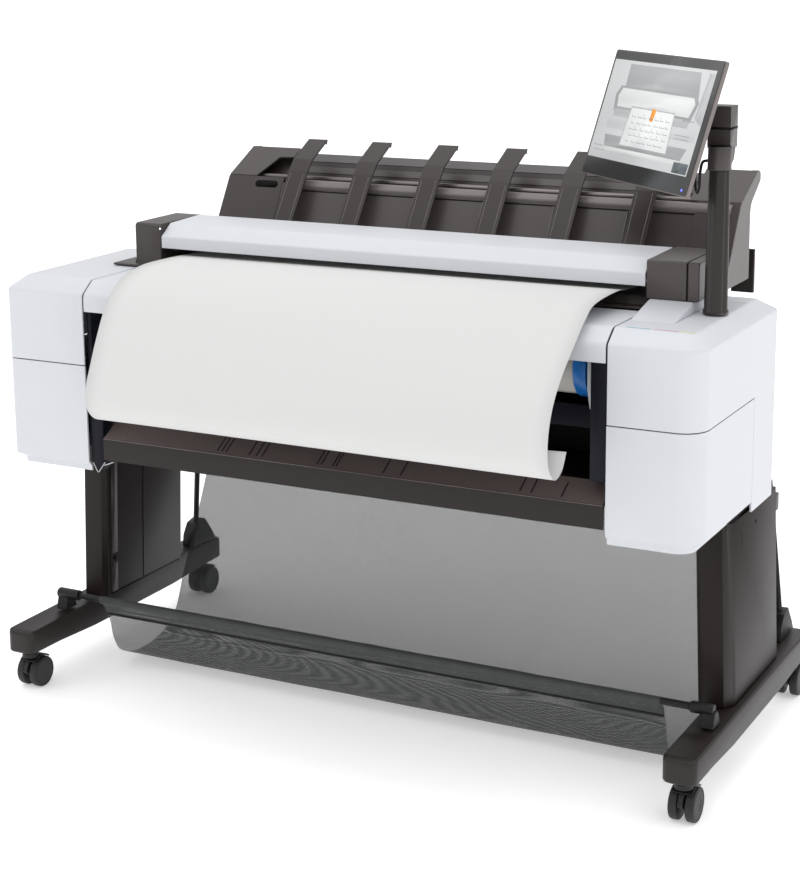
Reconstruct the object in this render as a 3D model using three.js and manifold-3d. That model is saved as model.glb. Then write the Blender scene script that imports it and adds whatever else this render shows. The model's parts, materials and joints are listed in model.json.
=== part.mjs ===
// Large format plotter with a scanner on top, a stacker behind it and a stand on casters.
// Millimetres. X runs along the machine, Y from front to back, Z up from the floor.
import * as THREE from 'three';
import { mergeVertices } from 'three/addons/utils/BufferGeometryUtils.js';
import Module from 'manifold-3d';

const wasm = await Module();
wasm.setup();

// ---- driving dimensions -------------------------------------------------------------------
const GAP = 0.5;                       // running and assembly clearance
const WALL = 4;                        // moulded wall thickness
const CENTRE_Y = 263.9;                 // middle of the whole depth, moved onto the origin

const HALF_WIDTH = 700;                // outer face of each side casing
const LEFT_INNER = -521;               // inner edge of the left casing
const RIGHT_INNER = 537;               // inner edge of the right casing
const CASING = { bottom: 468, skirt: 483, seam: 676, bevel: 813, top: 837, back: 420, split: 290 };

const SHEET = { x0: -424, x1: 490, thickness: 1.2 };   // a 914 mm sheet
const ROLL = { x0: -462, x1: 452, y: 112, z: 750, radius: 52, hub: 56, shaft: 8 };
const TRAY = { x0: -485, x1: 533, bottom: 495, lip: 537, back: 190, deck: 566 };

const SCANNER = { x0: -527, x1: 627, front: 190, back: 335, base: 838.5, top: 925 };
const COVER = { x0: -465.5, x1: 530.5, hingeY: 333, hingeZ: 886 };

const STACKER = { x0: -494, x1: 604, arms: 6, pitch: 149, middle: 54.5, armWidth: 44 };

const PIVOT_DEPTH = 36;                 // tilt pin behind the display's face
const POLE = { x: 654, y: 201, base: 838.5, top: 1083, radius: 20 };
const DISPLAY = { width: 380, height: 220, depth: 17, x: 506, y: 269, z: 1161, yaw: -41.3, tilt: 17.7 };

const LEG = { inner: 640, outer: 703, front: 195, back: 474, foot: 132.5, shoulder: 466, top: 574, splay: 0.038 };
const FOOT = { inner: 655, outer: 717, front: -35, back: 665, top: 132, under: 74 };
const CASTER = { radius: 31, trail: 19, front: -7, back: 612, x: 686, halfTread: 23 };
const BASKET = { x0: -590, x1: 605, thickness: 2, barY: 110, barZ: 163, barRadius: 7 };

// ---- materials ----------------------------------------------------------------------------
const finish = (colour, roughness, metalness = 0) =>
  new THREE.MeshStandardMaterial({ color: colour, roughness, metalness });
const WHITE = finish(0xe3e5ea, 0.45);
const TAUPE = finish(0x4d4644, 0.5);
const DARK = finish(0x2f2a29, 0.55);
const BLACK = finish(0x17181b, 0.5);
const STEEL = finish(0xb4b6ba, 0.35, 0.9);
const PAPER = finish(0xf4f3ef, 0.85);
const BLUE = finish(0x1f6fc4, 0.4);
const MESH = finish(0x6f7172, 0.9);
const GLASS = finish(0xd9dce0, 0.2);

// ---- shape helpers ------------------------------------------------------------------------
const plotter = new THREE.Group();
plotter.position.y = -CENTRE_Y;

function add(name, geometry, material) {
  const mesh = new THREE.Mesh(geometry, material);
  mesh.name = name;
  plotter.add(mesh);
  return mesh;
}

function extrude(outline, depth) {
  const shape = new THREE.Shape(outline.map(([a, b]) => new THREE.Vector2(a, b)));
  return new THREE.ExtrudeGeometry(shape, { depth, bevelEnabled: false });
}

// An outline of (y, z) points, swept along X.
function alongX(outline, x0, x1) {
  const axes = new THREE.Matrix4().makeBasis(
    new THREE.Vector3(0, 1, 0), new THREE.Vector3(0, 0, 1), new THREE.Vector3(1, 0, 0));
  return extrude(outline, x1 - x0).applyMatrix4(axes).translate(x0, 0, 0);
}

// An outline of (x, z) points, swept along Y.
function alongY(outline, y0, y1) {
  const axes = new THREE.Matrix4().makeBasis(
    new THREE.Vector3(1, 0, 0), new THREE.Vector3(0, 0, 1), new THREE.Vector3(0, -1, 0));
  return extrude(outline, y1 - y0).applyMatrix4(axes).translate(0, y1, 0);
}

// An outline of (x, y) points, swept along Z.
function alongZ(outline, z0, z1) {
  return extrude(outline, z1 - z0).translate(0, 0, z0);
}

function block(x0, x1, y0, y1, z0, z1) {
  return new THREE.BoxGeometry(x1 - x0, y1 - y0, z1 - z0)
    .translate((x0 + x1) / 2, (y0 + y1) / 2, (z0 + z1) / 2);
}

function rodBetween(from, to, radius, sides = 20) {
  const a = new THREE.Vector3(...from);
  const b = new THREE.Vector3(...to);
  const way = b.clone().sub(a);
  const turn = new THREE.Quaternion().setFromUnitVectors(
    new THREE.Vector3(0, 1, 0), way.clone().normalize());
  const middle = a.add(b).multiplyScalar(0.5);
  return new THREE.CylinderGeometry(radius, radius, way.length(), sides)
    .applyQuaternion(turn).translate(middle.x, middle.y, middle.z);
}

// A turned piece about an axis along X: steps of [x, radius], starting and ending on the axis.
function turnedX(steps, y, z, sides = 32) {
  const profile = steps.map(([x, radius]) => new THREE.Vector2(radius, x));
  return new THREE.LatheGeometry(profile, sides).rotateZ(-Math.PI / 2).translate(0, y, z);
}

// The outline of a bent sheet: a path and the same path moved to its left by the thickness.
function bentSheet(path, thickness) {
  const moved = path.map((point, i) => {
    const before = path[Math.max(i - 1, 0)];
    const after = path[Math.min(i + 1, path.length - 1)];
    const normals = [[before, point], [point, after]]
      .filter(([a, b]) => a !== b)
      .map(([a, b]) => {
        const length = Math.hypot(b[0] - a[0], b[1] - a[1]);
        return [-(b[1] - a[1]) / length, (b[0] - a[0]) / length];
      });
    const sum = normals.reduce((s, n) => [s[0] + n[0], s[1] + n[1]], [0, 0]);
    const size = Math.hypot(...sum);
    const unit = [sum[0] / size, sum[1] / size];
    const reach = thickness / (unit[0] * normals[0][0] + unit[1] * normals[0][1]);
    return [point[0] + unit[0] * reach, point[1] + unit[1] * reach];
  });
  return [...path, ...moved.reverse()];
}

// A rectangle in plan whose corners are rounded, each by its own radius, from (x0, y0) round.
function roundedPlan(x0, x1, y0, y1, radii, steps = 6) {
  const corners = [[x0, y0, Math.PI], [x1, y0, -Math.PI / 2], [x1, y1, 0], [x0, y1, Math.PI / 2]];
  const inward = [[1, 1], [-1, 1], [-1, -1], [1, -1]];
  return corners.flatMap(([x, y, start], i) => {
    const r = radii[i];
    if (r === 0) return [[x, y]];
    const cx = x + inward[i][0] * r;
    const cy = y + inward[i][1] * r;
    return Array.from({ length: steps + 1 }, (_, k) => {
      const angle = start + (k / steps) * (Math.PI / 2);
      return [cx + r * Math.cos(angle), cy + r * Math.sin(angle)];
    });
  });
}

function solid(geometry) {
  const bare = geometry.clone();
  bare.deleteAttribute('normal');
  bare.deleteAttribute('uv');
  const merged = mergeVertices(bare, 1e-4);
  return new wasm.Manifold(new wasm.Mesh({
    numProp: 3,
    vertProperties: Float32Array.from(merged.attributes.position.array),
    triVerts: Uint32Array.from(merged.index.array),
  }));
}

function surface(made) {
  const mesh = made.getMesh();
  const geometry = new THREE.BufferGeometry();
  geometry.setAttribute('position', new THREE.BufferAttribute(mesh.vertProperties, 3));
  geometry.setIndex(new THREE.BufferAttribute(mesh.triVerts, 1));
  return geometry;
}

const join = (...pieces) => surface(pieces.map(solid).reduce((a, b) => a.add(b)));
const cut = (piece, ...tools) => surface(tools.map(solid).reduce((a, b) => a.subtract(b), solid(piece)));
const overlap = (...pieces) => surface(pieces.map(solid).reduce((a, b) => a.intersect(b)));

// ---- stand --------------------------------------------------------------------------------
const SIDES = [['left', -1], ['right', 1]];

// A leg is a deep moulded column that leans outward towards the floor.
function legShape(side) {
  const corner = 13;
  const plan = [
    [LEG.inner + 9, LEG.front], [LEG.outer - corner, LEG.front], [LEG.outer, LEG.front + 27],
    [LEG.outer, LEG.back], [LEG.inner, LEG.back], [LEG.inner, LEG.front + 9],
  ];
  const column = alongZ(plan, LEG.foot, LEG.shoulder);
  const lean = new THREE.Matrix4().set(1, 0, -LEG.splay, LEG.splay * LEG.foot, 0, 1, 0, 0, 0, 0, 1, 0, 0, 0, 0, 1);
  const neck = block(636, 684, 205, 404, LEG.shoulder - 10, LEG.top);
  const leg = join(column.applyMatrix4(lean), neck);
  return side > 0 ? leg : mirrored(leg);
}

function mirrored(geometry) {
  const flipped = geometry.index ? geometry.toNonIndexed() : geometry.clone();
  const position = flipped.attributes.position;
  for (let i = 0; i < position.count; i += 3) {
    const corners = [0, 1, 2].map((k) => new THREE.Vector3().fromBufferAttribute(position, i + k));
    [corners[0], corners[2], corners[1]].forEach((v, k) => position.setXYZ(i + k, -v.x, v.y, v.z));
  }
  const bare = new THREE.BufferGeometry();
  bare.setAttribute('position', position);
  return mergeVertices(bare, 1e-4);
}

// A foot is a flat bar, deeper in its middle, with rounded ends.
function footShape(side) {
  const profile = [
    [FOOT.front, FOOT.under + 7], [60, FOOT.under + 6], [180, FOOT.under], [470, FOOT.under],
    [585, FOOT.under + 6], [FOOT.back, FOOT.under + 7], [FOOT.back, FOOT.top - 9],
    [FOOT.back - 12, FOOT.top - 4], [520, FOOT.top], [150, FOOT.top],
    [FOOT.front + 12, FOOT.top - 4], [FOOT.front, FOOT.top - 9],
  ];
  const plan = roundedPlan(FOOT.inner, FOOT.outer, FOOT.front, FOOT.back, [16, 16, 16, 16], 4);
  const foot = overlap(alongX(profile, FOOT.inner, FOOT.outer), alongZ(plan, 0, 200));
  return side > 0 ? foot : mirrored(foot);
}

for (const [side, sign] of SIDES) {
  add(`${side}_leg`, legShape(sign), DARK);
  add(`${side}_foot`, footShape(sign), DARK);
}
const BEAM = { half: 684, front: 226, back: 316, low: LEG.top + GAP, high: 640, wall: 6 };
const beamBar = block(-BEAM.half, BEAM.half, BEAM.front, BEAM.back, BEAM.low, BEAM.high);
const beamHollow = block(-BEAM.half - 1, BEAM.half + 1, BEAM.front + BEAM.wall, BEAM.back - BEAM.wall,
  BEAM.low + BEAM.wall, BEAM.high - BEAM.wall);
add('chassis_beam', cut(beamBar, beamHollow), STEEL);

// ---- casters ------------------------------------------------------------------------------
// The fork is a stem, a hood over both wheels and a web between them that carries the axle.
function forkShape(x, y) {
  const axleY = y + CASTER.trail;
  const axleZ = CASTER.radius;
  const hood = [];
  const steps = 8;
  for (let i = 0; i <= steps; i += 1) {
    const angle = 0.35 + (i / steps) * (Math.PI - 0.9);
    hood.push([axleY + 37 * Math.cos(angle), axleZ + 37 * Math.sin(angle)]);
  }
  const inner = hood.map(([a, b]) => [axleY + (a - axleY) * 33.5 / 37, axleZ + (b - axleZ) * 33.5 / 37]);
  const hoodBand = alongX([...hood, ...inner.reverse()], x - 24, x + 24);
  const web = block(x - 4, x + 4, axleY - 12, axleY + 12, axleZ - 9, axleZ + 34.5);
  const seat = block(x - 15, x + 15, y - 8, y + 22, axleZ + 34, axleZ + 44);
  const stem = rodBetween([x, y, axleZ + 40], [x, y, FOOT.under + 5.8], 8, 16);
  const bore = rodBetween([x - 20, axleY, axleZ], [x + 20, axleY, axleZ], 4.6, 16);
  return cut(join(hoodBand, web, seat, stem), bore);
}

// Two wheels on one axle, turned as one piece. The tread is faceted, with one facet flat on the floor.
const WHEEL_SIDES = 28;
function wheelShape(x, y) {
  const tread = CASTER.halfTread;
  const rim = CASTER.radius / Math.cos(Math.PI / WHEEL_SIDES);
  const steps = [
    [-tread, 0], [-tread, rim - 4], [-tread + 3, rim], [-7, rim], [-5.5, rim - 3], [-5.5, 4],
    [5.5, 4], [5.5, rim - 3], [7, rim], [tread - 3, rim], [tread, rim - 4], [tread, 0],
  ];
  const halfStep = Math.PI / WHEEL_SIDES;
  return turnedX(steps, 0, 0, WHEEL_SIDES).rotateX(halfStep)
    .translate(x, y + CASTER.trail, CASTER.radius);
}

for (const [side, sign] of SIDES) {
  for (const [end, y] of [['front', CASTER.front], ['rear', CASTER.back]]) {
    add(`${end}_${side}_caster_fork`, forkShape(sign * CASTER.x, y), BLACK);
    add(`${end}_${side}_caster_wheels`, wheelShape(sign * CASTER.x, y), BLACK);
  }
}

// ---- side casings and their ink doors -----------------------------------------------------
// The closed outer form of a casing, drawn in by an inset for its hollow.
function casingForm(side, inset) {
  const inner = side > 0 ? RIGHT_INNER : -LEFT_INNER;
  const outer = HALF_WIDTH - inset;
  const front = inset;
  const back = CASING.back - inset;
  const top = CASING.top - inset;
  const low = inset > 0 ? CASING.bottom - 1 : CASING.bottom;
  const start = inset > 0 ? inner - 1 : inner;
  const cornerRadius = side > 0 ? 45 : 12;
  const sideProfile = [
    [front + 10, low], [front, CASING.skirt], [front, CASING.bevel], [32 + inset / 2, top],
    [back - 45, top], [back, CASING.bevel], [back, low],
  ];
  // Ahead of the split the lower edge is drawn in as a skirt. Behind it the side runs straight down.
  const sideFace = (drawnIn) => [
    [start, low], [outer - drawnIn, low], [outer, CASING.skirt], [outer, CASING.bevel],
    [outer - 26, top], [start, top],
  ];
  const sides = join(
    alongY(sideFace(10), front, CASING.split), alongY(sideFace(0), CASING.split, back));
  const plan = roundedPlan(start, outer, front, back, [0, cornerRadius, 10, 0], 8);
  const form = overlap(alongX(sideProfile, start, outer), sides, alongZ(plan, low, top));
  return side > 0 ? form : mirrored(form);
}

function casingPieces(side) {
  const shell = cut(casingForm(side, 0), casingForm(side, WALL));
  const reach = [side > 0 ? 400 : -800, side > 0 ? 800 : -400];
  const doorSpace = block(...reach, -10, CASING.split, 400, CASING.seam + GAP);
  const doorCut = block(...reach, -10, CASING.split - 2 * GAP, 400, CASING.seam - GAP);
  return { casing: cut(shell, doorSpace), door: overlap(shell, doorCut) };
}

// Three upright cartridges stand side by side in each rack.
function inkRack(side) {
  const rack = [block(558, 676, 60, 180, 500, 640)];
  for (let i = 0; i < 3; i += 1) rack.push(block(564 + i * 38, 594 + i * 38, 36, 61, 512, 628));
  const made = join(...rack);
  return side > 0 ? made : mirrored(made);
}

for (const [side, sign] of SIDES) {
  const { casing, door } = casingPieces(sign);
  add(`${side}_casing`, casing, WHITE);
  add(`${side}_ink_door`, door, WHITE);
  add(`${side}_ink_rack`, inkRack(sign), BLACK);
}

// ---- middle covers and the roll bay -------------------------------------------------------
const middle0 = LEFT_INNER + 3;
const middle1 = RIGHT_INNER - 3;
const coverPath = [[0, 781], [0, CASING.bevel], [32, CASING.top], [176, CASING.top]];
add('centre_cover', alongX(bentSheet(coverPath, -WALL), middle0, middle1), WHITE);
const rearPath = [[347, CASING.top], [CASING.back, CASING.top], [CASING.back, 500]];
add('rear_cover', alongX(bentSheet(rearPath, -WALL), middle0, middle1), DARK);

const wallProfile = [[8, 800], [38, 829], [195, 829], [195, 575], [8, 575]];
add('right_bay_wall', alongX(wallProfile, 505, middle1 - GAP), BLACK);
const leftWall = alongX(wallProfile, middle0 + GAP, -508);
const leftApron = alongY([[-517, 490], [-504, 467], [-489, 490], [-489, 600], [-517, 600]], 6, 40);
add('left_bay_wall', join(leftWall, leftApron), BLACK);
// The bay's back wall steps forward under the roll.
const bayPath = [[205, 828], [205, 660], [98, 646], [76, 652], [76, 688]];
add('bay_back', alongX(bentSheet(bayPath, 4), -507, 504), BLACK);

const trayPath = [[0, TRAY.bottom], [0, TRAY.lip], [50, TRAY.deck], [TRAY.back, TRAY.deck]];
add('front_tray', alongX(bentSheet(trayPath, -6), TRAY.x0, TRAY.x1), DARK);

// ---- mains inlet and its switch, on the back -----------------------------------------------
const rearFace = CASING.back + GAP;
const inletBody = block(-470, -438, rearFace, rearFace + 6, 560, 586);
const inletHole = block(-466, -442, rearFace + 1, rearFace + 10, 564, 582);
add('mains_inlet', cut(inletBody, inletHole), BLACK);
// The rocker turns on a pin at its middle. Its back is a shallow V, and one end is pressed in.
const ROCKER = { x: -422, z: 575, half: 9, width: 12, press: 8 };
const rockerOutline = [
  [0, 0], [1.7, ROCKER.half], [4.6, ROCKER.half], [3.2, 0], [4.6, -ROCKER.half], [1.7, -ROCKER.half],
];
add('power_switch', alongX(rockerOutline, -ROCKER.width / 2, ROCKER.width / 2)
  .rotateX(THREE.MathUtils.degToRad(ROCKER.press))
  .translate(ROCKER.x, rearFace, ROCKER.z), BLACK);

// ---- printing works -----------------------------------------------------------------------
add('platen', block(-487, 503, 212, 300, 760, 772), STEEL);
const ROLLER = { x0: -480, x1: 496, y: 313, z: 766, radius: 10 };
const rollerSteps = [[ROLLER.x0, 0], [ROLLER.x0, ROLLER.radius], [ROLLER.x1, ROLLER.radius], [ROLLER.x1, 0]];
add('drive_roller', turnedX(rollerSteps, ROLLER.y, ROLLER.z, 24), DARK);
const motorSteps = [[540, 0], [540, 26], [600, 26], [600, 0]];
add('drive_motor', turnedX(motorSteps, ROLLER.y, ROLLER.z, 24), BLACK);
add('carriage_rail', block(-510, 526, 330, 346, 782, 798), STEEL);
const carriageBody = block(-300, -180, 240, 345, 778, 826);
add('carriage', cut(carriageBody, block(-301, -179, 329.4, 350, 770, 798.6)), BLACK);

// ---- roll, spindle and lever --------------------------------------------------------------
const hubStart = ROLL.x1 + GAP;
const spindleSteps = [
  [-487, 0], [-487, ROLL.shaft], [-482, ROLL.shaft], [-482, ROLL.hub], [ROLL.x0 - GAP, ROLL.hub],
  [ROLL.x0 - GAP, ROLL.shaft], [hubStart, ROLL.shaft], [hubStart, ROLL.hub],
  [476, ROLL.hub], [476, ROLL.shaft], [503, ROLL.shaft], [503, 0],
];
add('spindle', turnedX(spindleSteps, ROLL.y, ROLL.z, 36), BLUE);
const core = ROLL.shaft + GAP;
const rollSteps = [
  [ROLL.x0, core], [ROLL.x0, ROLL.radius], [ROLL.x1, ROLL.radius], [ROLL.x1, core], [ROLL.x0, core],
];
add('paper_roll', turnedX(rollSteps, ROLL.y, ROLL.z, 40), PAPER);
const leverPath = [[50, 776], [50, 722], [62, 684]];
add('roll_lever', alongX(bentSheet(leverPath, 6), 482, 494), WHITE);

// The sheet comes forward out of the scanner, over the cover, and curls at its lower end.
const sheetPath = [
  [300, 862], [190, 865], [110, 869], [58, 866], [10, 850], [-34, 818], [-80, 769], [-112, 722],
  [-131, 686], [-138, 655], [-135, 627], [-121, 606], [-98, 598], [-74, 606], [-57, 623],
];
add('media_sheet', alongX(bentSheet(sheetPath, SHEET.thickness), SHEET.x0, SHEET.x1), PAPER);

// ---- scanner ------------------------------------------------------------------------------
const basePlan = [
  [179, SCANNER.base], [SCANNER.back, SCANNER.base], [SCANNER.back, 857], [208, 857],
  [200, 843], [179, 843],
];
add('scanner_base', alongX(basePlan, -466.5, 531.5), DARK);
const capProfile = [
  [SCANNER.front, SCANNER.base], [345, SCANNER.base], [345, 905], [SCANNER.back, SCANNER.top],
  [SCANNER.front + 5, SCANNER.top], [SCANNER.front, SCANNER.top - 5],
];
const leftCap = alongX(capProfile, SCANNER.x0, -467);
const leftSill = block(-577, -467, 182, 262, SCANNER.base, 843);
add('scanner_left_cap', join(leftCap, leftSill), TAUPE);
const rightCap = alongX(capProfile, 532, SCANNER.x1);
const poleNotch = block(POLE.x - 28, POLE.x + 10, POLE.y - 24, POLE.y + 24, 800, 960);
add('scanner_right_cap', cut(rightCap, poleNotch), TAUPE);
const lidPath = [
  [SCANNER.front, 878], [SCANNER.front, 901], [222, 923], [330, 926], [COVER.hingeY + 4, 882],
];
add('scanner_cover', alongX(bentSheet(lidPath, -3), COVER.x0, COVER.x1), WHITE);
add('scanner_roller', turnedX([[-450, 0], [-450, 8], [515, 8], [515, 0]], 262, 876, 24), STEEL);

// ---- stacker ------------------------------------------------------------------------------
const endProfile = [
  [403, 845], [444, 910], [491, 988], [585, 1036], [600, 1034], [606, 1018], [547, 976], [547, 845],
];
const hoodPath = [[491, 988], [585, 1036]];
function stackerEnd(x0, x1, hood0, hood1) {
  const plate = alongX(endProfile, x0, x1);
  const hood = alongX(bentSheet(hoodPath, -5), hood0, hood1);
  return join(plate, hood);
}
add('stacker_left_end', stackerEnd(STACKER.x0, STACKER.x0 + 14, STACKER.x0, -385), TAUPE);
add('stacker_right_end', stackerEnd(STACKER.x1 - 14, STACKER.x1, 505, STACKER.x1), TAUPE);
const panel0 = STACKER.x0 + 14.5;
const panel1 = STACKER.x1 - 14.5;
add('stacker_front_panel', alongX(bentSheet([[404, 845], [484, 978]], -6), panel0, panel1), TAUPE);
const backPath = [[540, 845], [540, 978], [590, 1026]];
add('stacker_back_panel', alongX(bentSheet(backPath, 5), panel0, panel1), DARK);
add('stacker_rod', rodBetween([panel0 + GAP, 512, 984], [panel1 - GAP, 512, 984], 6, 16), STEEL);

const armPath = [[352, 842], [468, 1004], [489, 1027], [553, 1061]];
for (let i = 0; i < STACKER.arms; i += 1) {
  const x = STACKER.middle + (i - (STACKER.arms - 1) / 2) * STACKER.pitch;
  const half = STACKER.armWidth / 2;
  add(`stacker_arm_${i + 1}`, alongX(bentSheet(armPath, -5), x - half, x + half), TAUPE);
}

// ---- display ------------------------------------------------------------------------------
const poleSteps = [[0, 0], [22, 0], [22, 6], [POLE.radius, 9], [17.5, POLE.top - POLE.base], [0, POLE.top - POLE.base]];
const poleProfile = poleSteps.map(([radius, height]) => new THREE.Vector2(radius, height));
add('display_pole', new THREE.LatheGeometry(poleProfile, 36)
  .rotateX(Math.PI / 2).translate(POLE.x, POLE.y, POLE.base), DARK);

const yaw = THREE.MathUtils.degToRad(DISPLAY.yaw);
const tilt = THREE.MathUtils.degToRad(DISPLAY.tilt);
const across = new THREE.Vector3(Math.cos(yaw), Math.sin(yaw), 0);
const level = new THREE.Vector3(Math.sin(yaw), -Math.cos(yaw), 0);
const facing = level.clone().multiplyScalar(Math.cos(tilt)).add(new THREE.Vector3(0, 0, Math.sin(tilt)));
const upward = new THREE.Vector3().crossVectors(facing, across);
const centre = new THREE.Vector3(DISPLAY.x, DISPLAY.y, DISPLAY.z);

// Turns a shape drawn with X across, Y away from the viewer and Z up into the display's pose.
function inDisplay(geometry) {
  const axes = new THREE.Matrix4().makeBasis(across, facing.clone().negate(), upward);
  return geometry.applyMatrix4(axes).translate(centre.x, centre.y, centre.z);
}
const halfW = DISPLAY.width / 2;
const halfH = DISPLAY.height / 2;
const CHIN = 11;                        // the frame is deeper below the screen
const housing = block(-halfW, halfW, 1.2, DISPLAY.depth, -halfH - CHIN, halfH);
const knuckleBlock = block(-16, 16, DISPLAY.depth - 1, PIVOT_DEPTH + 8, -14, 14);
const knuckleBore = rodBetween([-20, PIVOT_DEPTH, 0], [20, PIVOT_DEPTH, 0], 5.5);
add('display_housing', inDisplay(cut(join(housing, knuckleBlock), knuckleBore)), TAUPE);
add('display_glass', inDisplay(block(-halfW + 2, halfW - 2, 0, 0.9, 2 - halfH - CHIN, halfH - 2)), GLASS);

// The arm's collar turns on the pole. Its beam runs behind the display and ends in the tilt pin.
const pivot = centre.clone().addScaledVector(facing, -PIVOT_DEPTH);
const collar = rodBetween([POLE.x, POLE.y, POLE.top + GAP], [POLE.x, POLE.y, 1123], 20, 32);
const head = block(628, 668, 212, 250, 1118, 1188);
const beamStart = new THREE.Vector3(642, 234, pivot.z);
const beamWay = pivot.clone().sub(beamStart);
const beam = block(0, beamWay.length() - 24, -8, 8, -15, 15)
  .rotateZ(Math.atan2(beamWay.y, beamWay.x)).translate(...beamStart.toArray());
const pin = inDisplay(join(
  rodBetween([-20, PIVOT_DEPTH, 0], [32, PIVOT_DEPTH, 0], 5),
  rodBetween([-21, PIVOT_DEPTH, 0], [-17, PIVOT_DEPTH, 0], 9)));
add('display_arm', join(collar, head, beam, pin), TAUPE);

// A short cable loops from the arm's beam down beside the collar and back.
const loop = new THREE.CatmullRomCurve3([
  [598, 256, 1134], [597, 253, 1115], [598, 243, 1080], [604, 228, 1050], [612, 214, 1041],
  [618, 206, 1052], [620, 202, 1075], [624, 201, 1094], [633, 201, 1098],
].map((point) => new THREE.Vector3(...point)));
const cableSection = new THREE.Shape(Array.from({ length: 8 }, (_, i) => {
  const angle = (i / 8) * 2 * Math.PI;
  return new THREE.Vector2(2.5 * Math.cos(angle), 2.5 * Math.sin(angle));
}));
add('display_cable', new THREE.ExtrudeGeometry(cableSection, {
  steps: 22, extrudePath: loop, bevelEnabled: false,
}), BLACK);

// ---- basket -------------------------------------------------------------------------------
// The front bar lies in a bracket on each foot.
const bracketPath = [[88, FOOT.top + GAP], [128, FOOT.top + GAP], [124, 150], [112, 171], [100, 168], [98, 150]];
const bracket = (x0) => alongX(bracketPath, x0, x0 + 18);
const frontBar = rodBetween([-676, BASKET.barY, BASKET.barZ], [676, BASKET.barY, BASKET.barZ], BASKET.barRadius);
add('basket_front_bar', join(frontBar, bracket(-694), bracket(676)), BLACK);

// Two rods stand in clips at the back of the feet and carry the top of the fabric.
const clipPath = [[552, FOOT.top + GAP], [640, FOOT.top + GAP], [630, 150], [600, 188], [572, 182], [556, 158]];
const clip = (x0) => alongX(clipPath, x0, x0 + 30);
const rearRod = (sign) => rodBetween([sign * 674, 588, 170], [sign * 648, 576, 446], 6, 16);
const topRod = rodBetween([-648, 576, 442], [648, 576, 442], 6, 16);
add('basket_rear_frame', join(clip(-687), clip(657), rearRod(-1), rearRod(1), topRod), BLACK);

const fabricPath = [
  [118, 150], [136, 112], [143, 78], [166, 36], [214, 16], [272, 13], [334, 28], [376, 62],
  [410, 136], [456, 217], [512, 330], [564, 434],
];
add('basket_fabric', alongX(bentSheet(fabricPath, BASKET.thickness), BASKET.x0, BASKET.x1), MESH);

export default plotter;
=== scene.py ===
"""The finished surfaces of a large format plotter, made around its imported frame. Metres, Z up."""
import json
import math

import bmesh
import bpy
from mathutils import Matrix, Vector


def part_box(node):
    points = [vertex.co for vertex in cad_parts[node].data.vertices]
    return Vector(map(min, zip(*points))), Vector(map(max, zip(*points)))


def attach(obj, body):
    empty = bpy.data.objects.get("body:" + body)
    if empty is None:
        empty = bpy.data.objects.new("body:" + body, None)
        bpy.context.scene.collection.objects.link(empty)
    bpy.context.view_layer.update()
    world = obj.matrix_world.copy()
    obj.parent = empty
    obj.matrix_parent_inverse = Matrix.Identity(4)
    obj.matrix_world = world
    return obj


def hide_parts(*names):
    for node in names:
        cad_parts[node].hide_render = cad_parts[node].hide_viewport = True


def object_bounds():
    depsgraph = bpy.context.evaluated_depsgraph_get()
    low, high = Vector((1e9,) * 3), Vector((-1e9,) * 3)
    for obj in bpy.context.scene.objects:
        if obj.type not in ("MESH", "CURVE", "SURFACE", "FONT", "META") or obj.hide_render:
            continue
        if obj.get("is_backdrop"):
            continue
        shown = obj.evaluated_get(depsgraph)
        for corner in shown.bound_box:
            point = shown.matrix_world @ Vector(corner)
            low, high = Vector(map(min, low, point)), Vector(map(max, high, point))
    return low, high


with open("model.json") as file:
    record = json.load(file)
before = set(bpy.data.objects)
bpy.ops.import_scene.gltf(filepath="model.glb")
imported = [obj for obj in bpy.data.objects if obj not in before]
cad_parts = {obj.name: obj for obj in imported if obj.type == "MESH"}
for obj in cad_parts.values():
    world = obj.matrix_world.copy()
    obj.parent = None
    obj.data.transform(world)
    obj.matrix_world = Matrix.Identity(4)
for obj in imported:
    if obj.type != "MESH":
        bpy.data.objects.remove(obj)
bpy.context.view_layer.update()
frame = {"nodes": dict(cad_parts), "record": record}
scene = bpy.context.scene

# ---- camera ----------------------------------------------------------------------------------
# It stands ahead and to the right of the machine at eye height and looks a little down on it.
# The small shift keeps the feet in the picture while the uprights stay nearly upright.
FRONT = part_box("right_casing")[0].y


def at(x, y, z):
    """A point in millimetres from the machine's middle, the casings' front faces and the floor."""
    return Vector((x / 1000, FRONT + y / 1000, z / 1000))


yaw, pitch, roll = (math.radians(angle) for angle in (27.442, 12.398, -0.528))
forward = Vector((-math.sin(yaw) * math.cos(pitch), math.cos(yaw) * math.cos(pitch), -math.sin(pitch)))
level = Vector((math.cos(yaw), math.sin(yaw), 0))
upright = level.cross(forward)
side_axis = math.cos(roll) * level + math.sin(roll) * upright
top_axis = math.cos(roll) * upright - math.sin(roll) * level
camera = bpy.data.objects.new("camera", bpy.data.cameras.new("camera"))
camera.data.lens = 78.28
camera.data.shift_y = -0.1
camera.data.clip_end = 400
camera.matrix_world = Matrix.Translation(at(1654.2, -2888.5, 1477.5)) @ Matrix(
    (side_axis, top_axis, -forward)).transposed().to_4x4()
scene.collection.objects.link(camera)
scene.camera = camera

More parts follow.
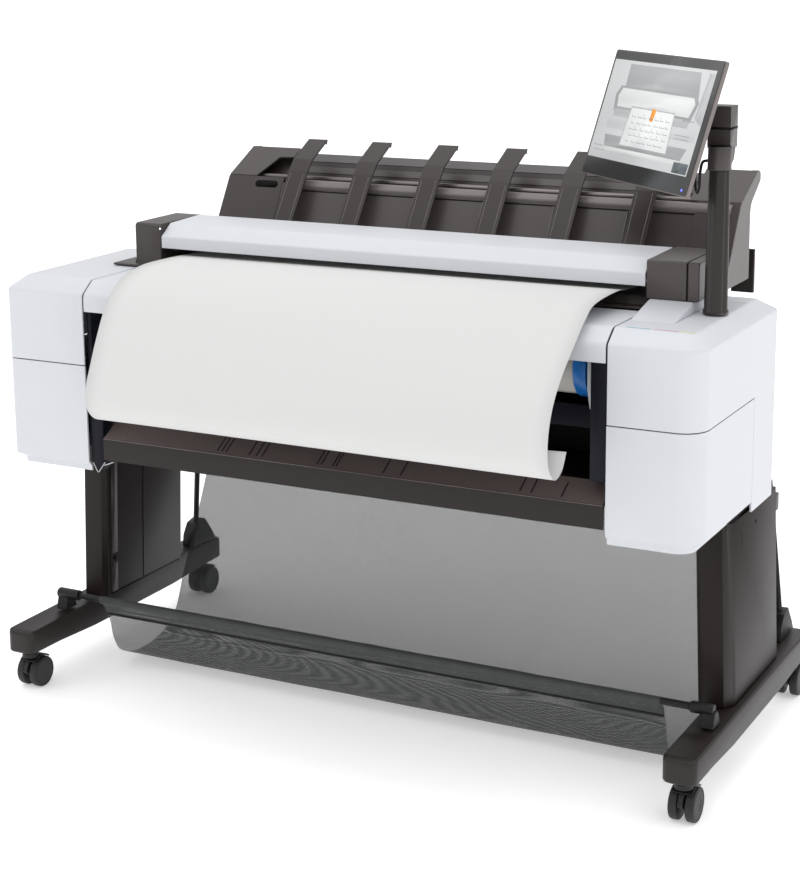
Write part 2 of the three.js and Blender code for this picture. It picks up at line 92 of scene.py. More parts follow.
# ---- studio ----------------------------------------------------------------------------------
# A pale floor in a white room, with a long soft box overhead and a narrow upright one at each
# side, which give the dark mouldings their sheen. The floor glows a little, so that it stays white.
scene.view_settings.view_transform = "Standard"
room = bpy.data.worlds.new("room")
room.use_nodes = True
scene.world = room
sky = room.node_tree.nodes
sky_links = room.node_tree.links
sky_place = sky.new("ShaderNodeTexCoord")
sky_parts = sky.new("ShaderNodeSeparateXYZ")
sky_ramp = sky.new("ShaderNodeValToRGB")
sky_low, sky_high = sky_ramp.color_ramp.elements
sky_low.position, sky_high.position = 0.0, 0.9
sky_low.color = (0.38, 0.38, 0.38, 1)
sky_high.color = (1.0, 1.0, 1.0, 1)
sky_links.new(sky_place.outputs["Generated"], sky_parts.inputs[0])
sky_links.new(sky_parts.outputs["Z"], sky_ramp.inputs[0])
sky_links.new(sky_ramp.outputs[0], sky["Background"].inputs["Color"])
sky["Background"].inputs["Strength"].default_value = 1.3


def soft_box(name, place, aim, size, watts):
    lamp = bpy.data.lights.new(name, "AREA")
    lamp.shape = "RECTANGLE"
    lamp.size, lamp.size_y = size
    lamp.energy = watts
    holder = bpy.data.objects.new(name, lamp)
    holder.location = place
    holder.rotation_euler = (Vector(aim) - Vector(place)).to_track_quat("-Z", "Y").to_euler()
    scene.collection.objects.link(holder)


soft_box("overhead", (0.2, -0.3, 3.6), (0.1, 0.1, 0.6), (3.2, 1.6), 14)
soft_box("left_strip", (-2.6, -2.4, 1.6), (0.2, 0, 0.9), (0.16, 2.6), 4)
soft_box("right_strip", (3.4, -0.6, 1.6), (0.4, 0, 0.9), (0.16, 2.6), 6)

floor_mesh = bpy.data.meshes.new("floor")
FLOOR_REACH = 150
floor_corners = [(x * FLOOR_REACH, y * FLOOR_REACH, 0) for x, y in ((-1, -1), (1, -1), (1, 1), (-1, 1))]
floor_mesh.from_pydata(floor_corners, [], [(0, 1, 2, 3)])
floor = bpy.data.objects.new("floor", floor_mesh)
floor_look = bpy.data.materials.new("pale floor")
floor_look.use_nodes = True
floor_shader = floor_look.node_tree.nodes["Principled BSDF"]
floor_shader.inputs["Base Color"].default_value = (0.96, 0.96, 0.96, 1)
floor_shader.inputs["Roughness"].default_value = 0.5
floor_shader.inputs["Specular IOR Level"].default_value = 0.0
floor_shader.inputs["Emission Color"].default_value = (1, 1, 1, 1)
floor_shader.inputs["Emission Strength"].default_value = 0.34
floor_mesh.materials.append(floor_look)
scene.collection.objects.link(floor)
floor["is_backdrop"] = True

# ---- side casings and ink doors --------------------------------------------------------------
# Two white moulded shells, each closed at the front and the outer side by an L-shaped ink door.
# Their walls are 4 mm thick, with soft creases at the sloping top edge and a skirt drawn in below.


def moulded(name, colour, roughness, grain=0.12, grain_size=0.0011, cloud=0.03, sheen=0.5):
    """Moulded plastic: a fine spark-eroded grain, faint clouds in its colour and its gloss."""
    look = bpy.data.materials.new(name)
    look.use_nodes = True
    nodes, links = look.node_tree.nodes, look.node_tree.links
    shader = nodes["Principled BSDF"]
    shader.inputs["Specular IOR Level"].default_value = sheen
    place = nodes.new("ShaderNodeTexCoord")
    clouds = nodes.new("ShaderNodeTexNoise")
    clouds.inputs["Scale"].default_value = 9
    clouds.inputs["Detail"].default_value = 4
    tone = nodes.new("ShaderNodeValToRGB")
    low, high = tone.color_ramp.elements
    low.position, high.position = 0.3, 0.7
    low.color = (*(c * (1 - cloud) for c in colour), 1)
    high.color = (*(min(1, c * (1 + cloud)) for c in colour), 1)
    fine = nodes.new("ShaderNodeTexNoise")
    fine.inputs["Scale"].default_value = 1 / grain_size
    fine.inputs["Detail"].default_value = 2
    gloss = nodes.new("ShaderNodeMapRange")
    gloss.inputs["To Min"].default_value = roughness - 0.05
    gloss.inputs["To Max"].default_value = roughness + 0.05
    bump = nodes.new("ShaderNodeBump")
    bump.inputs["Strength"].default_value = grain
    bump.inputs["Distance"].default_value = 0.0002
    links.new(place.outputs["Object"], clouds.inputs["Vector"])
    links.new(place.outputs["Object"], fine.inputs["Vector"])
    links.new(clouds.outputs["Fac"], tone.inputs["Fac"])
    links.new(tone.outputs["Color"], shader.inputs["Base Color"])
    links.new(clouds.outputs["Fac"], gloss.inputs["Value"])
    links.new(gloss.outputs["Result"], shader.inputs["Roughness"])
    links.new(fine.outputs["Fac"], bump.inputs["Height"])
    links.new(bump.outputs["Normal"], shader.inputs["Normal"])
    return look


white_shell = moulded("white shell", (0.62, 0.635, 0.67), 0.42, cloud=0.012)


def made(name, shape, look):
    """An object for a finished bmesh, at the origin, smooth-shaded."""
    mesh = bpy.data.meshes.new(name)
    shape.to_mesh(mesh)
    shape.free()
    mesh.materials.append(look)
    mesh.shade_smooth()
    thing = bpy.data.objects.new(name, mesh)
    scene.collection.objects.link(thing)
    return thing


def rounded_edges(thing, width, segments=2, angle=32):
    """Soft edges wherever two faces meet at more than the angle."""
    edge = thing.modifiers.new("edges", "BEVEL")
    edge.width = width
    edge.segments = segments
    edge.limit_method = "ANGLE"
    edge.angle_limit = math.radians(angle)
    edge.harden_normals = True
    edge.miter_outer = "MITER_ARC"
    return thing


def walled(thing, thickness):
    """Gives an open surface its wall, inwards."""
    wall = thing.modifiers.new("wall", "SOLIDIFY")
    wall.thickness = thickness
    wall.offset = -1
    wall.use_even_offset = True
    return thing


def fitted(thing, body, slot, *nodes):
    """Rides on its body and stands for its CAD nodes, which it hides. The slot is not used."""
    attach(thing, body)
    if nodes:
        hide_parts(*nodes)
    return thing


OUTER, BACK, SPLIT, SEAM = 700, 420, 290, 676
CUT = 0.9
# Each ring of a casing: how far its front, side and back are drawn in, and its height.
skirt_rings = [(10, 17, 0, 468), (9, 16, 0, 478), (0.5, 1, 0, 486), (0, 0, 0, 487.5)]
wall_rings = [(0, 0, 0, z) for z in (560, SEAM - CUT, SEAM + CUT, 760, 803)]


def crease_rings(front, side, back, low, high, steps=5):
    """The sloping top edge, with both of its creases rounded."""
    rings = []
    slope = math.atan2(front, high - low)
    for middle, turn, start, radius in ((0, slope, 0.0, 9), (1, math.pi / 2 - slope, slope, 13)):
        reach = radius * math.tan(turn / 2)
        corner = (front * middle, low + (high - low) * middle)
        begin = (corner[0] - reach * math.sin(start), corner[1] - reach * math.cos(start))
        for step in range(steps + 1):
            angle = start + turn * step / steps
            inward = begin[0] + radius * (math.cos(start) - math.cos(angle))
            height = begin[1] + radius * (math.sin(angle) - math.sin(start))
            rings.append((inward, inward * side / front, inward * back / front, height))
    return rings


casing_rings = skirt_rings + wall_rings + crease_rings(32, 26, 45, 813, 837)
casing_rings.append((52, 44, 70, 837))


def casing_outline(inner, corner, ring, steps=8):
    """One ring's outline, from the inner edge round the front, the outer side and the back."""
    front, side, back, height = ring
    outer = OUTER - side
    radius = max(corner - (front + side) / 2, min(corner, 16))
    points = [(inner, front), (inner + 40, front)]
    for step in range(steps + 1):
        angle = -math.pi / 2 + step / steps * math.pi / 2
        points.append((outer - radius * (1 - math.cos(angle)), front + radius * (1 + math.sin(angle))))
    rear = OUTER if height < 488 else outer
    points += [(outer, SPLIT - CUT), (rear, SPLIT + CUT)]
    for step in range(5):
        angle = step / 4 * math.pi / 2
        points.append((rear - 10 + 10 * math.cos(angle), BACK - back - 10 + 10 * math.sin(angle)))
    points.append((inner, BACK - back))
    return points


def casing_pair(side, sign, inner, corner):
    shapes = {"casing": bmesh.new(), "ink_door": bmesh.new()}
    outlines = [casing_outline(inner, corner, ring) for ring in casing_rings]
    split = next(i for i, point in enumerate(outlines[0]) if point[1] == SPLIT - CUT)
    grids = {
        key: [[shape.verts.new(at(sign * x, y, ring[3])) for x, y in outline]
              for ring, outline in zip(casing_rings, outlines)]
        for key, shape in shapes.items()
    }
    for r in range(len(casing_rings) - 1):
        below = casing_rings[r + 1][3] <= SEAM - CUT + 0.01
        within = casing_rings[r][3] < SEAM
        for i in range(len(outlines[0]) - 1):
            if i < split and below:
                key = "ink_door"
            elif within and i <= split:
                continue
            else:
                key = "casing"
            grid = grids[key]
            loop = [grid[r][i], grid[r][i + 1], grid[r + 1][i + 1], grid[r + 1][i]]
            shapes[key].faces.new(loop if sign > 0 else loop[::-1])
    top = grids["casing"][-1]
    shapes["casing"].faces.new(top if sign > 0 else top[::-1])
    for key, shape in shapes.items():
        loose = [v for v in shape.verts if not v.link_faces]
        bmesh.ops.delete(shape, geom=loose, context="VERTS")
        bmesh.ops.remove_doubles(shape, verts=shape.verts, dist=1e-5)
        thing = rounded_edges(walled(made(f"{side}_{key}_skin", shape, white_shell), 0.0038), 0.0009, 2, 22)
        body = "machine" if key == "casing" else f"{side}_door"
        fitted(thing, body, "white_shell", f"{side}_{key}")


casing_pair("right", 1, 537, 45)
casing_pair("left", -1, 521, 12)

# Three printed dashes and a plain recessed plate on the right casing's top.


def prism(shape, near_points, far_points):
    """A closed body between two outlines that match corner by corner."""
    near = [shape.verts.new(point) for point in near_points]
    far = [shape.verts.new(point) for point in far_points]
    faces = [shape.faces.new(near), shape.faces.new(far[::-1])]
    for i in range(len(near)):
        j = (i + 1) % len(near)
        faces.append(shape.faces.new([near[j], near[i], far[i], far[j]]))
    bmesh.ops.recalc_face_normals(shape, faces=faces)


def slab(shape, corners, thickness):
    """A flat plate: its corners, and its thickness along their normal."""
    normal = (corners[1] - corners[0]).cross(corners[2] - corners[1]).normalized() * thickness
    prism(shape, [c + normal for c in corners], corners)


for colour_name, colour, x0, x1 in (
        ("cyan", (0.16, 0.50, 0.60), 556, 597), ("magenta", (0.72, 0.25, 0.36), 603, 644),
        ("yellow", (0.86, 0.80, 0.30), 648, 672)):
    dash = bmesh.new()
    low = at(x0, 37, 837.05)
    run = Vector(((x1 - x0) / 1000, 0, 0))
    breadth = Vector((0, 0.003, 0))
    slab(dash, [low, low + run, low + run + breadth, low + breadth], 0.0002)
    look = moulded(f"{colour_name} print", colour, 0.4, grain=0.02)
    fitted(made(f"dash_{colour_name}", dash, look), "machine", "white_shell")
plate = bmesh.new()
slab(plate, [at(640, 318, 837), at(672, 318, 837), at(672, 362, 837), at(640, 362, 837)], 0.0005)
fitted(rounded_edges(made("blank_plate", plate, white_shell), 0.0003), "machine", "white_shell")

# ---- ink racks -------------------------------------------------------------------------------
# Black racks behind the doors, each with three upright cartridges. Only an open door shows them.


def dressed(node, look, width, segments=2, angle=32):
    """A piece with its CAD node's own shape, its facets joined and its edges rounded."""
    shape = bmesh.new()
    shape.from_mesh(frame["nodes"][node].data)
    bmesh.ops.remove_doubles(shape, verts=shape.verts, dist=2e-5)
    bmesh.ops.dissolve_limit(shape, angle_limit=math.radians(1.5), verts=shape.verts, edges=shape.edges)
    thing = made(f"{node}_skin", shape, look)
    rounded_edges(thing, width, segments, angle)
    record = frame["record"]
    bodies = record["behaviour"]["bodies"]
    home = next(body for body, members in bodies.items() if node in members)
    slot = next(part["material_slot"] for part in record["subparts"] if part["node"] == node)
    return fitted(thing, home, slot, node)


black_plastic = moulded("black plastic", (0.006, 0.006, 0.007), 0.45, sheen=0.3)
for side in ("left", "right"):
    dressed(f"{side}_ink_rack", black_plastic, 0.0015)

# ---- centre cover ----------------------------------------------------------------------------
# The white cover over the roll: one bent moulding between the casings, with a low front lip.


def fillet(corners, radius, steps=5):
    """A bent line of (y, z) points with its inner corners rounded."""
    line = [corners[0]]
    for before, corner, after in zip(corners, corners[1:], corners[2:]):
        a = Vector(before) - Vector(corner)
        b = Vector(after) - Vector(corner)
        half = a.angle(b) / 2
        reach = min(radius / math.tan(half), a.length * 0.48, b.length * 0.48)
        true = reach * math.tan(half)
        heart = Vector(corner) + (a.normalized() + b.normalized()).normalized() * (true / math.sin(half))
        start = Vector(corner) + a.normalized() * reach - heart
        turn = start.angle_signed(Vector(corner) + b.normalized() * reach - heart)
        for step in range(steps + 1):
            angle = -turn * step / steps
            spun = Vector((start.x * math.cos(angle) - start.y * math.sin(angle),
                           start.x * math.sin(angle) + start.y * math.cos(angle)))
            line.append(tuple(heart + spun))
    line.append(corners[-1])
    return line


def swept(name, line, x0, x1, thickness, look, edge=0.0008):
    """A line of (y, z) points swept along the machine, with its wall behind its outer face."""
    shape = bmesh.new()
    rows = [[shape.verts.new(at(x, y, z)) for y, z in line] for x in (x0, x1)]
    for i in range(len(line) - 1):
        shape.faces.new([rows[0][i], rows[1][i], rows[1][i + 1], rows[0][i + 1]])
    thing = made(name, shape, look)
    walled(thing, thickness)
    return rounded_edges(thing, edge, 2, 50)


cover_line = fillet([(0, 781), (0, 813), (32, 837), (176, 837)], 16)
centre_cover = swept("centre_cover_skin", cover_line, -517.6, 533.6, 0.0038, white_shell)
fitted(centre_cover, "machine", "white_shell", "centre_cover")

# ---- rear cover, inlet and switch ------------------------------------------------------------
# A dark moulded back with rows of louvres, the mains inlet and the rocker beside it.


def row_tree():
    """Repeats the incoming shape: Count copies, one Step apart."""
    tree = bpy.data.node_groups.new("row of copies", "GeometryNodeTree")
    face = tree.interface
    face.new_socket("Geometry", in_out="INPUT", socket_type="NodeSocketGeometry")
    face.new_socket("Count", in_out="INPUT", socket_type="NodeSocketInt")
    face.new_socket("Step", in_out="INPUT", socket_type="NodeSocketVector")
    face.new_socket("Material", in_out="INPUT", socket_type="NodeSocketMaterial")
    face.new_socket("Geometry", in_out="OUTPUT", socket_type="NodeSocketGeometry")
    entry = tree.nodes.new("NodeGroupInput")
    line = tree.nodes.new("GeometryNodeMeshLine")
    copies = tree.nodes.new("GeometryNodeInstanceOnPoints")
    real = tree.nodes.new("GeometryNodeRealizeInstances")
    paint = tree.nodes.new("GeometryNodeSetMaterial")
    leave = tree.nodes.new("NodeGroupOutput")
    tree.links.new(entry.outputs["Count"], line.inputs["Count"])
    tree.links.new(entry.outputs["Step"], line.inputs["Offset"])
    tree.links.new(line.outputs["Mesh"], copies.inputs["Points"])
    tree.links.new(entry.outputs["Geometry"], copies.inputs["Instance"])
    tree.links.new(copies.outputs["Instances"], real.inputs["Geometry"])
    tree.links.new(real.outputs["Geometry"], paint.inputs["Geometry"])
    tree.links.new(entry.outputs["Material"], paint.inputs["Material"])
    tree.links.new(paint.outputs["Geometry"], leave.inputs["Geometry"])
    return tree


row_of_copies = row_tree()


def settled(thing):
    """Turns an object's modifiers into its plain mesh."""
    bpy.context.view_layer.update()
    graph = bpy.context.evaluated_depsgraph_get()
    plain = bpy.data.meshes.new_from_object(thing.evaluated_get(graph))
    thing.modifiers.clear()
    thing.data = plain
    return thing


def repeated(thing, tree, look, **values):
    """Runs a tree on an object with its named inputs, and keeps the result as its mesh."""
    copies = thing.modifiers.new("copies", "NODES")
    copies.node_group = tree
    for item in tree.interface.items_tree:
        if item.in_out == "INPUT" and item.name in values:
            copies[item.identifier] = values[item.name]
        if item.in_out == "INPUT" and item.name == "Material":
            copies[item.identifier] = look
    return settled(thing)


dark_cover = moulded("dark cover", (0.024, 0.018, 0.017), 0.40, sheen=0.4)
rear_line = fillet([(347, 837), (420, 837), (420, 500)], 12)
rear_cover = swept("rear_cover_skin", rear_line, -517.6, 533.6, 0.0038, dark_cover)
fitted(rear_cover, "machine", "dark_cover", "rear_cover")

louvre = bmesh.new()
slab(louvre, [at(-300, 420, 700), at(-300, 420, 705), at(-180, 420, 705), at(-180, 420, 700)], 0.003)
louvres = rounded_edges(made("rear_louvres", louvre, dark_cover), 0.001)
repeated(louvres, row_of_copies, dark_cover, Count=9, Step=(0, 0, -0.014))
repeated(louvres, row_of_copies, dark_cover, Count=4, Step=(0.17, 0, 0))
fitted(louvres, "machine", "dark_cover")
dressed("mains_inlet", black_plastic, 0.0008)
dressed("power_switch", black_plastic, 0.0005)

# ---- roll bay --------------------------------------------------------------------------------
# Black side walls and a navy-black back wall that steps forward under the roll. The left wall
# carries an apron with a pointed tip, edged with bright strips.
navy_plastic = moulded("navy plastic", (0.0045, 0.005, 0.010), 0.45, sheen=0.18)
for side in ("left", "right"):
    dressed(f"{side}_bay_wall", navy_plastic, 0.001)
dressed("bay_back", navy_plastic, 0.001)


def ribbon(shape, start, end, across, thickness):
    """A thin straight strip from start to end, as wide and as thick as the two vectors say."""
    corners = [start, end, end + across, start + across]
    prism(shape, corners, [corner + thickness for corner in corners])


bright_edge = moulded("bright edge", (0.55, 0.55, 0.55), 0.3)
tip = bmesh.new()
depth = Vector((0, 0.0008, 0))
ribbon(tip, at(-515, 4.6, 486), at(-505, 4.6, 467.5), Vector((0.0018, 0, 0)), depth)
ribbon(tip, at(-503.5, 4.6, 467.5), at(-487, 4.6, 489.5), Vector((0.0018, 0, 0)), depth)
ribbon(tip, at(-484.5, -1.0, 484), at(-462, -1.0, 492.6), Vector((0.0, 0, 0.0018)), depth)
fitted(made("apron_edges", tip, bright_edge), "machine", "dark_cover")

# ---- front tray ------------------------------------------------------------------------------
# The dark moulded lip that guides paper out of the bay. Its sloping face has pairs of short
# grooves for the paper guides, drawn as near-black strips of painted shade. A lighter strip over
# the slope is painted light, and a light line along the lip is a painted highlight. A near-black
# strip behind the tray is painted shade in the gap into the bay.
tray_look = moulded("tray brown", (0.011, 0.0065, 0.0060), 0.38, sheen=0.34)
tray_line = fillet([(0, 495), (0, 537), (50, 566), (190, 566)], 2.5, 3)
tray = swept("front_tray_skin", tray_line, -485, 533, 0.0058, tray_look, 0.0012)
fitted(tray, "machine", "dark_cover", "front_tray")

# Painted light: a thin strip over the tray's sloping face, much lighter than the tray's own brown, for the
# light the slope catches.
slope_painted_light_look = moulded("tray slope painted light", (0.118, 0.092, 0.087), 0.36, sheen=0.45)
tray_slope_painted_light = swept("tray_slope_painted_light", [(1.4, 538.1), (48.9, 565.65)], -484, 532, 0.0002, slope_painted_light_look, 0.0001)
fitted(tray_slope_painted_light, "machine", "dark_cover")

slot_look = moulded("slot shadow", (0.004, 0.0035, 0.0035), 0.6, sheen=0.1)
# Painted shade: a near-black strip standing in the gap into the bay behind the tray, where it lies in
# shadow.
bay_shade_line = [(190.4, 554), (190.4, 566.5), (203, 570), (203, 655)]
bay_shade_strip = swept("bay_gap_painted_shade", bay_shade_line, -504, 502, 0.0012, slot_look, 0.0002)
fitted(bay_shade_strip, "machine", "dark_cover")
slope = Vector((0, 50, 29)).normalized()
slope_out = Vector((0, -29, 50)).normalized() * 0.0004


# The grooves are not cut: each is a near-black strip laid on the slope, painted shade.
def tray_groove_shades(name, x, count, step):
    groove = bmesh.new()
    ribbon(groove, at(x, 7, 541.2), at(x, 7, 541.2) + slope * 0.036, Vector((0.0022, 0, 0)), slope_out)
    grooves = made(name, groove, slot_look)
    repeated(grooves, row_of_copies, slot_look, Count=count, Step=(step, 0, 0))
    fitted(grooves, "machine", "dark_cover")


for number, (x, count, step) in enumerate((
        (-233, 3, 0.0095), (-165, 1, 0.01), (-149, 2, 0.0115), (-21, 2, 0.0085), (11, 2, 0.0065),
        (113, 1, 0.01), (148, 1, 0.01), (377, 2, 0.021), (454, 1, 0.01))):
    tray_groove_shades(f"tray_groove_shades_{number + 1}", x, count, step)

# Painted highlights: a light line along the tray's lip and a short one down its slope, much lighter than the
# tray's own brown.
lip_highlight_look = moulded("lip painted highlight", (0.15, 0.12, 0.11), 0.3, cloud=0.3)
lip = bmesh.new()
lip_breadth = Vector((0, 0.0002, 0.0013))
ribbon(lip, at(-484, -0.15, 536.4), at(532, -0.15, 536.4), lip_breadth, Vector((0, -0.0002, 0.0001)))
ribbon(lip, at(-444, 24.5, 551.4), at(-441, 3, 539), Vector((0.0014, 0, 0)), slope_out)
fitted(made("tray_lip_highlights", lip, lip_highlight_look), "machine", "dark_cover")

# ---- printing works --------------------------------------------------------------------------
# The platen, the rubber drive roller, the rail and its carriage, seen only through the bay.


def metal(name, colour, roughness, brushed=0.0):
    """Bare metal with a fine grain."""
    look = moulded(name, colour, roughness, grain=0.05, cloud=0.05)
    shader = look.node_tree.nodes["Principled BSDF"]
    shader.inputs["Metallic"].default_value = 1.0
    shader.inputs["Anisotropic"].default_value = brushed
    return look


ground_steel = metal("ground steel", (0.50, 0.51, 0.53), 0.3, 0.4)
satin_aluminium = metal("satin aluminium", (0.35, 0.35, 0.36), 0.42, 0.3)
dressed("platen", satin_aluminium, 0.0008)
dressed("carriage_rail", ground_steel, 0.001)
dressed("carriage", black_plastic, 0.002)
dressed("drive_motor", black_plastic, 0.001)
dressed("drive_roller", moulded("roller rubber", (0.02, 0.02, 0.02), 0.75), 0.0008)
dressed("chassis_beam", metal("zinc plate", (0.10, 0.10, 0.105), 0.45), 0.0012)

# ---- roll, spindle and lever -----------------------------------------------------------------
# A roll of coated paper on a shaft between two blue hubs, with a white lever ahead of its end.
roll_paper = moulded("roll paper", (0.62, 0.60, 0.56), 0.72, grain=0.05, cloud=0.015, sheen=0.2)
dressed("paper_roll", roll_paper, 0.0008, angle=50)
hub_blue = moulded("hub blue", (0.012, 0.17, 0.56), 0.34)
dressed("spindle", hub_blue, 0.0012, angle=50)
dressed("roll_lever", white_shell, 0.0016, 3)

# ---- hanging sheet ---------------------------------------------------------------------------
# One 914 mm wide sheet of plain coated paper. It comes out of the scanner's slot, rests on the
# cover's edge and curls under at its free end, a little more at the right.


def paper_look():
    look = bpy.data.materials.new("plain paper")
    look.use_nodes = True
    nodes, links = look.node_tree.nodes, look.node_tree.links
    shader = nodes["Principled BSDF"]
    shader.inputs["Roughness"].default_value = 0.8
    shader.inputs["Specular IOR Level"].default_value = 0.15
    place = nodes.new("ShaderNodeTexCoord")
    fibre = nodes.new("ShaderNodeTexNoise")
    fibre.inputs["Scale"].default_value = 420
    fibre.inputs["Detail"].default_value = 5
    tone = nodes.new("ShaderNodeValToRGB")
    tone.color_ramp.elements[0].color = (0.64, 0.643, 0.635, 1)
    tone.color_ramp.elements[1].color = (0.675, 0.678, 0.67, 1)
    bump = nodes.new("ShaderNodeBump")
    bump.inputs["Strength"].default_value = 0.06
    bump.inputs["Distance"].default_value = 0.0002
    links.new(place.outputs["Object"], fibre.inputs["Vector"])
    links.new(fibre.outputs["Fac"], tone.inputs["Fac"])
    links.new(tone.outputs["Color"], shader.inputs["Base Color"])
    links.new(fibre.outputs["Fac"], bump.inputs["Height"])
    links.new(bump.outputs["Normal"], shader.inputs["Normal"])
    return look


def smooth_line(points, per_span=6):
    """A Catmull-Rom line through the points."""
    ends = [tuple(2 * a - b for a, b in zip(points[0], points[1])), *points,
            tuple(2 * a - b for a, b in zip(points[-1], points[-2]))]
    line = []
    for p0, p1, p2, p3 in zip(ends, ends[1:], ends[2:], ends[3:]):
        for step in range(per_span):
            t = step / per_span
            line.append(tuple(
                0.5 * (2 * b + (c - a) * t + (2 * a - 5 * b + 4 * c - d) * t * t
                       + (3 * b - a - 3 * c + d) * t ** 3)
                for a, b, c, d in zip(p0, p1, p2, p3)))
    line.append(points[-1])
    return line


left_edge = [(300, 862), (215, 865), (139, 868), (56, 867), (-9, 851), (-52, 819), (-87, 762), (-112, 710),
             (-127, 676), (-131, 650), (-125, 627), (-107, 609), (-84, 602), (-62, 606)]
right_edge = [(300, 862), (215, 866), (160, 871), (60, 866), (16, 845), (-28, 813), (-77, 774),
              (-112, 736), (-130, 700), (-137, 663), (-131, 628), (-106, 604), (-76, 612), (-57, 640)]
left_line = smooth_line(left_edge)
right_line = smooth_line(right_edge)
SHEET_LEFT, SHEET_WIDTH = -424, 914
SHEET_COLUMNS = 24
sheet = bmesh.new()
sheet_grid = []
for column in range(SHEET_COLUMNS + 1):
    share = column / SHEET_COLUMNS
    x = SHEET_LEFT + SHEET_WIDTH * share
    sheet_grid.append([sheet.verts.new(at(x, a[0] + (b[0] - a[0]) * share, a[1] + (b[1] - a[1]) * share))
                       for a, b in zip(left_line, right_line)])
for before, after in zip(sheet_grid, sheet_grid[1:]):
    for i in range(len(before) - 1):
        sheet.faces.new([before[i], before[i + 1], after[i + 1], after[i]])
hanging_sheet = walled(made("hanging_sheet", sheet, paper_look()), 0.0003)
fitted(hanging_sheet, "machine", "paper", "media_sheet")

# ---- scanner ---------------------------------------------------------------------------------
# A dark base with a cap at each end, and the white cover that lifts from its hinge at the back.
# The left cap has a power light and a small catch. The right cap is in two halves, and the casing
# rises to meet it.
taupe = moulded("taupe plastic", (0.062, 0.051, 0.0495), 0.34)
dressed("scanner_base", dark_cover, 0.001)
# The left cap and the left stacker end are the same taupe as the right ones; this darker copy paints the
# shade on the left end.
shaded_taupe = moulded("taupe painted shade", (0.047, 0.0385, 0.0375), 0.36, sheen=0.4)
dressed("scanner_left_cap", shaded_taupe, 0.0028, 3)
lid_line = fillet([(190, 878), (190, 901), (222, 923), (330, 926), (337, 882)], 6)
scanner_cover = swept("scanner_cover_skin", lid_line, -465.5, 530.5, 0.0028, white_shell)
fitted(scanner_cover, "scanner_lid", "white_shell", "scanner_cover")
dressed("scanner_roller", ground_steel, 0.0008)

seam_look = moulded("seam shadow", (0.006, 0.005, 0.005), 0.6, sheen=0.1)
seams = bmesh.new()
ribbon(seams, at(605, 189.8, 858), at(605, 189.8, 920), Vector((0.0012, 0, 0)), Vector((0, 0.0003, 0)))
ribbon(seams, at(605, 195, 924.9), at(605, 334, 924.9), Vector((0.0012, 0, 0)), Vector((0, 0, 0.0003)))
fitted(made("right_cap_seam", seams, seam_look), "machine", "taupe_plastic")


def block(shape, middle, size):
    """A small block about its middle, before its edges are rounded."""
    bmesh.ops.create_cube(shape, size=1.0, matrix=Matrix.Translation(middle) @ Matrix.Diagonal((*size, 1)))


catch = bmesh.new()
block(catch, at(-520, 212, 846), (0.034, 0.022, 0.006))
block(catch, at(-486, 186, 841), (0.050, 0.010, 0.003))
fitted(rounded_edges(made("left_cap_catch", catch, dark_cover), 0.0015, 3), "machine", "taupe_plastic")


def lit(name, colour, strength):
    """A small lamp or a lit panel."""
    look = moulded(name, colour, 0.3, grain=0.0, cloud=0.02)
    shader = look.node_tree.nodes["Principled BSDF"]
    shader.inputs["Emission Color"].default_value = (*colour, 1)
    shader.inputs["Emission Strength"].default_value = strength
    return look


def disc(shape, centre, normal, radius, height, steps=20):
    """A short round stud or a disc."""
    turn = Vector(normal).to_track_quat("Z", "Y").to_matrix().to_4x4()
    bmesh.ops.create_cone(shape, cap_ends=True, segments=steps, radius1=radius, radius2=radius * 0.92,
                          depth=height, matrix=Matrix.Translation(centre) @ turn)


power_light = bmesh.new()
disc(power_light, at(-468, 189.8, 916), (0, -1, 0), 0.0016, 0.0006)
white_light = lit("white light", (0.9, 0.95, 1.0), 2.0)
fitted(made("power_light", power_light, white_light), "machine", "taupe_plastic")

# ---- stacker ---------------------------------------------------------------------------------
# Dark taupe mouldings behind the scanner: two broad ends, a front and a back panel, a rod between
# them and a row of six bent arms that the scanned originals slide over.


def polygon_plate(name, outline, x0, x1, look, edge):
    """A flat plate: an outline of (y, z) points, swept from x0 to x1."""
    shape = bmesh.new()
    prism(shape, [at(x0, y, z) for y, z in outline], [at(x1, y, z) for y, z in outline])
    return rounded_edges(made(name, shape, look), edge)


def closed_fillet(corners, radii):
    """A closed outline with each corner rounded by its own radius."""
    line = []
    for i, corner in enumerate(corners):
        part = fillet([corners[i - 1], corner, corners[(i + 1) % len(corners)]], radii[i], 5)
        line += part[1:-1]
    return line


# The scanner's right cap, in two halves with a seam between them, on the casing's white rise.
cap_corners = [(190, 857), (190, 925), (345, 925), (345, 857)]
inner_outline = closed_fillet(cap_corners, [3, 5, 5, 3])
inner_half = polygon_plate("scanner_right_cap_skin", inner_outline, 532, 605, taupe, 0.0028)
fitted(inner_half, "machine", "taupe_plastic", "scanner_right_cap")
outer_outline = closed_fillet(cap_corners, [3, 8, 8, 3])
outer_half = polygon_plate("scanner_right_cap_outer", outer_outline, 606, 627, taupe, 0.007)
fitted(outer_half, "machine", "taupe_plastic")
rise_outline = [(95, 836.5), (188, 856.5), (335, 856.5), (335, 836.5)]
saddle = polygon_plate("right_cap_saddle", rise_outline, 538, 618, white_shell, 0.003)
fitted(saddle, "machine", "white_shell")

# The stacker's own mouldings.
end_outline = closed_fillet(
    [(400, 838.5), (444, 910), (491, 988), (585, 1036), (606, 1035), (606, 1016), (547, 976), (547, 838.5)],
    [2, 60, 8, 12, 14, 9, 30, 3])


